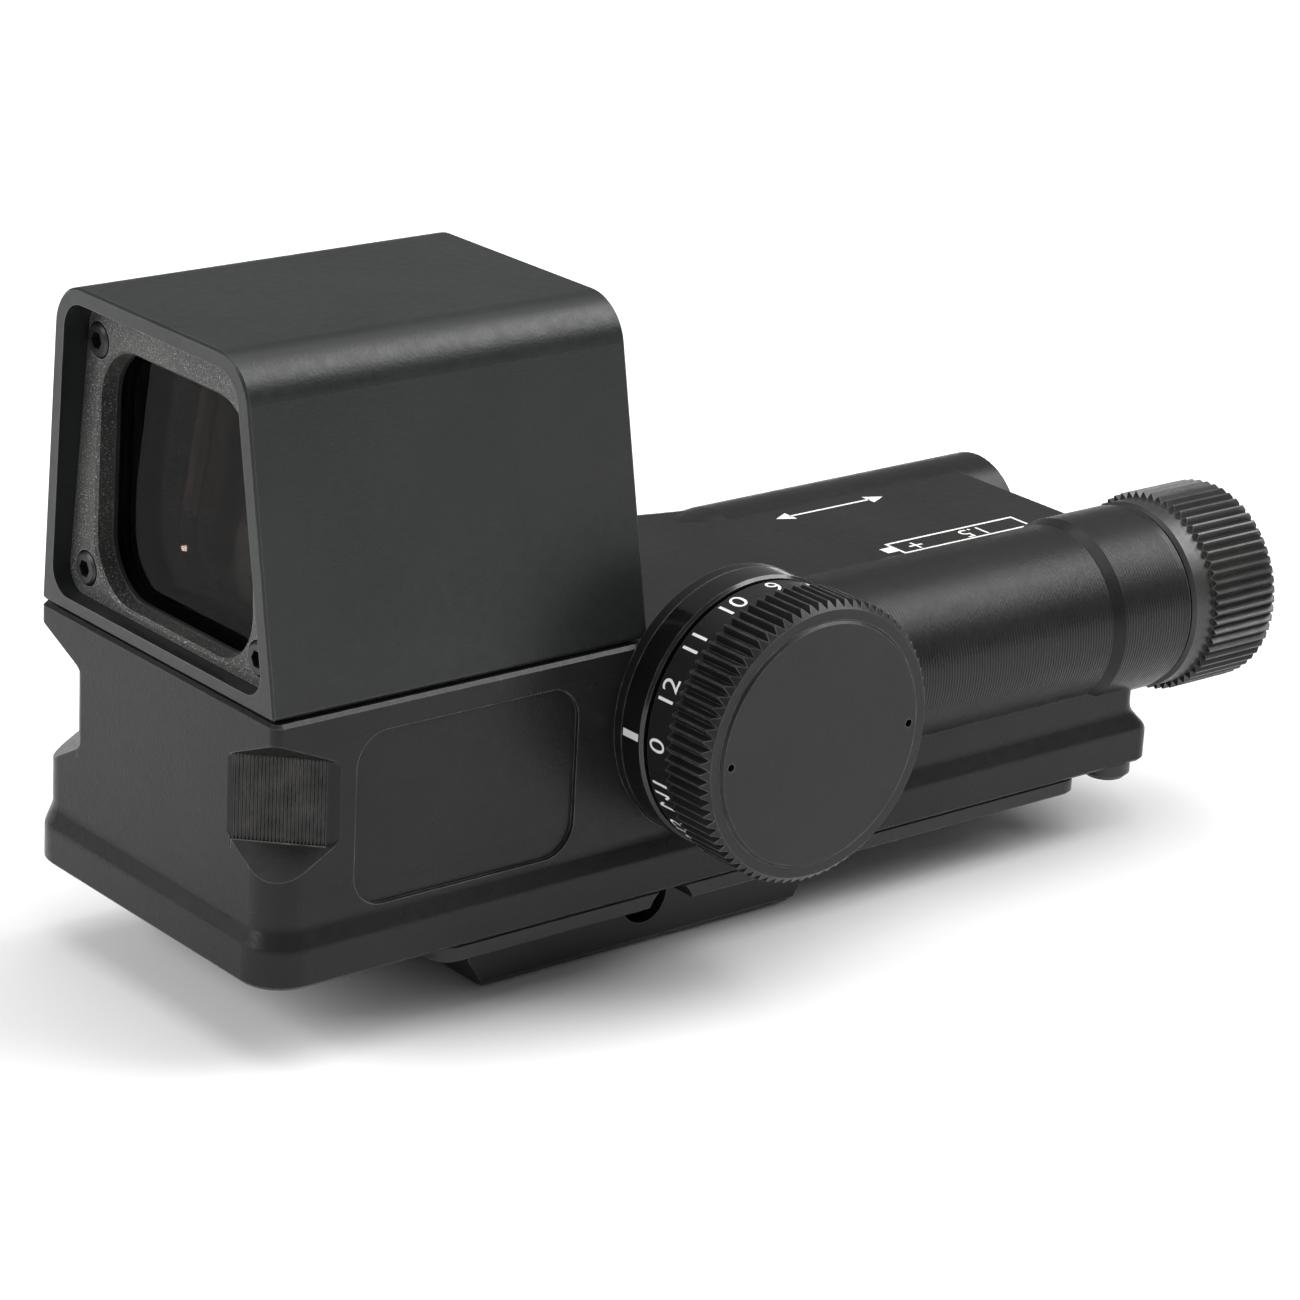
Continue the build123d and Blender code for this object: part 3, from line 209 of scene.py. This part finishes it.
def steel(name, tone, rough):
    """Turned metal with fine scratches."""
    tree = Tree(name)
    shade = tuple(c * 0.7 for c in tone)
    colour = tree.ramp(tree.noise(600, 4, stretch=(1, 0.1, 1)), shade, tone)
    tree.link(colour, tree.shader.inputs["Base Color"])
    tree.sheen(tree.noise(1500, 3), rough, 0.08)
    tree.shader.inputs["Metallic"].default_value = 1.0
    tree.bump(tree.noise(4000, 2, stretch=(1, 0.05, 1)), 0.01 * MM)


def plastic(name, dark, light, rough):
    """Moulded plastic, rubber or paint with a faint grain."""
    tree = Tree(name)
    tree.link(tree.ramp(tree.noise(300, 4), dark, light), tree.shader.inputs["Base Color"])
    tree.sheen(tree.noise(900, 2), rough, 0.06)
    tree.bump(tree.noise(3000, 2), 0.02 * MM)


def clear(name, tint, deep_tint, rough, ior):
    """Tinted clear pane, faintly wavy; a low index stands for an anti-reflection coating."""
    tree = Tree(name)
    tree.link(tree.ramp(tree.noise(60, 2), tint, deep_tint), tree.shader.inputs["Base Color"])
    tree.shader.inputs["Roughness"].default_value = rough
    tree.shader.inputs["Transmission Weight"].default_value = 1.0
    tree.shader.inputs["IOR"].default_value = ior
    tree.bump(tree.noise(30, 1), 0.002 * MM)


def paint(name, *targets):
    """Give CAD nodes one material in all their slots."""
    for target in targets:
        slots = nodes[target].data.materials
        slots.clear()
        slots.append(bpy.data.materials[name])


# ------------------------------------------------------------------ materials
anodised("satin_black", (0.009, 0.0088, 0.0085), (0.013, 0.0127, 0.0122), 0.36, gloss=0.35)
anodised("hood_black", (0.0095, 0.0105, 0.0103), (0.0135, 0.015, 0.0147), 0.36,
         speck=3200, wear_and_highlight=0.5, gloss=0.34)
blasted("blasted_black", (0.02, 0.02, 0.0195), (0.045, 0.045, 0.0435), 0.5)
anodised("knob_black", (0.009, 0.009, 0.0087), (0.0135, 0.0135, 0.013), 0.36,
         speck=3000, wear_and_highlight=0.7, gloss=0.26)
anodised("cap_black", (0.016, 0.016, 0.0155), (0.028, 0.028, 0.0265), 0.38, speck=2400, wear_and_highlight=0.6)
# index ring: its thin bright front lines come from the high edge setting, a painted highlight
anodised("gloss_black", (0.0035, 0.0035, 0.004), (0.006, 0.006, 0.0065), 0.14,
         grain=0.004 * MM, wear_and_highlight=0.9)
turned_tube("housing_black", (0.009, 0.0088, 0.0085), (0.0135, 0.0131, 0.0127), 0.32)

steel("bright_steel", (0.62, 0.6, 0.58), 0.32)
steel("black_steel", (0.07, 0.07, 0.068), 0.34)
steel("machined_brass", (0.75, 0.55, 0.25), 0.3)

plastic("black_rubber", (0.008, 0.008, 0.008), (0.016, 0.016, 0.016), 0.65)
plastic("green_board", (0.01, 0.09, 0.03), (0.02, 0.14, 0.05), 0.4)
plastic("switch_plastic", (0.02, 0.02, 0.02), (0.035, 0.035, 0.035), 0.5)
plastic("cell_sleeve", (0.2, 0.21, 0.22), (0.3, 0.31, 0.32), 0.35)
plastic("white_mark", (0.78, 0.78, 0.76), (0.9, 0.9, 0.88), 0.5)

clear("window_glass", (0.46, 0.45, 0.43), (0.52, 0.5, 0.48), 0.0, 1.1)
clear("lens_glass", (0.42, 0.31, 0.28), (0.5, 0.37, 0.33), 0.0, 1.36)
clear("led_glass", (0.8, 0.05, 0.04), (0.9, 0.1, 0.08), 0.1, 1.5)

paint("housing_black", "housing")
paint("satin_black", "clamp_base", "movable_jaw", "clamp_lever", "lens_cell")
paint("gloss_black", "index_ring")
paint("hood_black", "hood")
paint("blasted_black", "front_frame", "rear_frame")
paint("knob_black", "brightness_knob", "knob_cover")
paint("cap_black", "battery_cap")
paint("bright_steel", "lever_pin", "jaw_springs", "contact_spring", "detent_ball", "detent_spring",
      "board_screws", "knob_shaft")
paint("black_steel", "front_frame_screws", "rear_frame_screws", "clamp_bolt", "base_screws",
      "foot_screws", "hood_screws", "rear_adjuster", "side_adjuster")
paint("machined_brass", "emitter_block", "emitter_carriage", "front_contact", "cap_contact")
paint("black_rubber", "base_gasket", "hood_gasket", "front_seal", "rear_seal", "knob_seal",
      "cap_seal", "rear_adjuster_seal", "side_adjuster_seal")
paint("green_board", "circuit_board")
paint("switch_plastic", "rotary_switch")
paint("cell_sleeve", "battery")
paint("window_glass", "front_glass", "rear_glass")
paint("lens_glass", "reflector_lens")
paint("led_glass", "emitter_led")

# ------------------------------------------------------------------ painted marks, in mm
_, KNOB_Y, KNOB_Z = (c / MM for c in joints["knob_turn"]["pos_m"])
DIAL_R, DIAL_X = 14.4, 27.8      # drum with the numbers: radius, and its middle along X
RING_R, RING_X = 14.7, 23.8      # fixed ring with the index line
DECK_Z = 27.8                    # flat top of the housing behind the hood
LIFT = 0.015                     # paint thickness
LINE = 0.35                      # painted line width
FIGURE, PLUS = 2.3, 2.8          # heights of the figures and of the plus sign
CAPITAL = 0.7                    # a capital's height for a font size of 1
POSITIONS = 16                   # click positions of the knob


def lettering(text, height):
    """Flat outline of the text, centred: points along (x) and up (y), and faces."""
    curve = bpy.data.curves.new("lettering", "FONT")
    curve.body = text
    curve.align_x = "CENTER"
    curve.align_y = "CENTER"
    curve.size = height / CAPITAL
    holder = bpy.data.objects.new("lettering", curve)
    scene.collection.objects.link(holder)
    bpy.context.view_layer.update()
    flat = bpy.data.meshes.new_from_object(holder)
    bpy.data.objects.remove(holder)
    points = [(v.co.x, v.co.y) for v in flat.vertices]
    return points, [tuple(p.vertices) for p in flat.polygons]


def bar(x0, y0, x1, y1):
    """Flat rectangle from corner to corner, cut along X so that it can bend round a drum."""
    cuts = 6
    points, faces = [], []
    for index in range(cuts + 1):
        x = x0 + (x1 - x0) * index / cuts
        points += [(x, y0), (x, y1)]
        if index:
            at = 2 * index
            faces.append((at - 2, at, at + 1, at - 1))
    return points, faces


def on_drum(radius, x, angle):
    """Places a flat mark on a drum round the knob's axis; its top points to the body."""
    def place(along, up):
        around = angle + along / radius
        reach = radius + LIFT
        return (x - up, KNOB_Y - reach * math.cos(around), KNOB_Z + reach * math.sin(around))
    return place


def on_deck(x, y):
    """Places a flat mark on the deck, reading towards the target end."""
    def place(along, up):
        return (x + up, y - along, DECK_Z + LIFT)
    return place


def printed(name, shapes, body):
    """One painted mark from (points, faces, placing function) shapes."""
    verts, polygons = [], []
    for points, faces, place in shapes:
        start = len(verts)
        verts += [tuple(c * MM for c in place(*point)) for point in points]
        polygons += [tuple(start + index for index in face) for face in faces]
    mark = bpy.data.meshes.new(name)
    mark.from_pydata(verts, [], polygons)
    mark.materials.append(bpy.data.materials["white_mark"])
    piece = bpy.data.objects.new(name, mark)
    scene.collection.objects.link(piece)
    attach(piece, body)


step = 2 * math.pi / POSITIONS
labels = ["0"] + [str(number) for number in range(12, 0, -1)] + ["N3", "N2", "N1"]
printed("dial_numbers", [
    (*lettering(label, FIGURE), on_drum(DIAL_R, DIAL_X, step * index))
    for index, label in enumerate(labels)
], "knob")

index_w, index_len = 0.8, 2.4
index_bar = bar(-index_w / 2, -index_len / 2, index_w / 2, index_len / 2)
printed("index_line", [(*index_bar, on_drum(RING_R, RING_X, 0))], "sight")

mark_x, outline_y, figure_y, plus_y = 6.7, 51.3, 53.5, 44.6
half_len, half_w = 19.3 / 2, 3.6 / 2
nub_w, nub_len = 1.5, 1.6
outline = on_deck(mark_x, outline_y)
printed("battery_mark", [
    (*bar(-half_len, -half_w, half_len, -half_w + LINE), outline),
    (*bar(-half_len, half_w - LINE, half_len, half_w), outline),
    (*bar(-half_len, -half_w + LINE, -half_len + LINE, half_w - LINE), outline),
    (*bar(half_len - LINE, -half_w + LINE, half_len, half_w - LINE), outline),
    (*bar(half_len, -nub_w / 2, half_len + nub_len, nub_w / 2), outline),
    (*lettering("1.5", FIGURE), on_deck(mark_x, figure_y)),
    (*lettering("+", PLUS), on_deck(mark_x, plus_y)),
], "sight")

arrow_x, arrow_y = -8.0, 45.0
shaft, tip, head_back, head_half = 6.0, 8.0, 5.8, 1.1
arrow = on_deck(arrow_x, arrow_y)
printed("adjuster_mark", [
    (*bar(-shaft, -LINE / 2, shaft, LINE / 2), arrow),
    ([(-tip, 0), (-head_back, -head_half), (-head_back, head_half)], [(0, 1, 2)], arrow),
    ([(tip, 0), (head_back, head_half), (head_back, -head_half)], [(0, 1, 2)], arrow),
], "sight")

# ------------------------------------------------------------------ studio, in metres
FLOOR_HALF = 4.0
FLOOR_LIGHT = (0.9, 0.9, 0.9)
FLOOR_SHADE = tuple(c * 0.985 for c in FLOOR_LIGHT)
FLOOR_Z = cad_box[0][2]
WORLD_STRENGTH = 0.3
LIGHT_AIM = Vector((0, 0, 0.03))

floor_paint = Tree("studio_white")
floor_tone = floor_paint.ramp(floor_paint.noise(3, 2), FLOOR_LIGHT, FLOOR_SHADE)
floor_paint.link(floor_tone, floor_paint.shader.inputs["Base Color"])
floor_paint.shader.inputs["Roughness"].default_value = 0.9
floor_mesh = bpy.data.meshes.new("studio_floor")
floor_corners = [(-1, -1), (1, -1), (1, 1), (-1, 1)]
floor_mesh.from_pydata(
    [(x * FLOOR_HALF, y * FLOOR_HALF, FLOOR_Z) for x, y in floor_corners], [], [(0, 1, 2, 3)]
)
floor_mesh.materials.append(floor_paint.material)
floor = bpy.data.objects.new("studio_floor", floor_mesh)
scene.collection.objects.link(floor)

world = bpy.data.worlds.new("studio")
scene.world = world
world.use_nodes = True
world.node_tree.nodes["Background"].inputs["Color"].default_value = (1, 1, 1, 1)
world.node_tree.nodes["Background"].inputs["Strength"].default_value = WORLD_STRENGTH


def softbox(name, place, size, power):
    """Rectangular area light that faces the object; power in watts."""
    data = bpy.data.lights.new(name, "AREA")
    data.shape = "RECTANGLE"
    data.size, data.size_y = size
    data.energy = power
    lamp = bpy.data.objects.new(name, data)
    scene.collection.objects.link(lamp)
    lamp.location = place
    lamp.rotation_mode = "QUATERNION"
    lamp.rotation_quaternion = (LIGHT_AIM - lamp.location).to_track_quat("-Z", "Y")


softbox("key_front", place=(-0.45, -1.2, 0.7), size=(0.9, 0.7), power=17)
softbox("top", place=(0.0, 0.15, 1.4), size=(1.6, 1.6), power=15)
softbox("rear_right", place=(0.38, 0.85, 0.9), size=(1.1, 0.6), power=14)

# ------------------------------------------------------------------ camera, fitted to the photo
azimuth, elevation, roll = (math.radians(a) for a in (49.92, 20.02, 3.11))
distance = 0.44367
target = Vector((0.02385, -0.00719, 0.03066))
lens, sensor = 122.2, 36.0       # mm on the camera's own scale

back = Vector((math.sin(azimuth) * math.cos(elevation), -math.cos(azimuth) * math.cos(elevation),
               math.sin(elevation)))
right = Vector((math.cos(azimuth), math.sin(azimuth), 0))
up = back.cross(right)
rolled_right = right * math.cos(roll) + up * math.sin(roll)
rolled_up = up * math.cos(roll) - right * math.sin(roll)
camera_data = bpy.data.cameras.new("camera")
camera_data.lens = lens
camera_data.sensor_width = sensor
camera_data.clip_start = 0.01
camera = bpy.data.objects.new("camera", camera_data)
scene.collection.objects.link(camera)
turn = Matrix((rolled_right, rolled_up, back)).transposed().to_4x4()
camera.matrix_world = Matrix.Translation(target + back * distance) @ turn
scene.camera = camera
scene.view_settings.view_transform = "Standard"
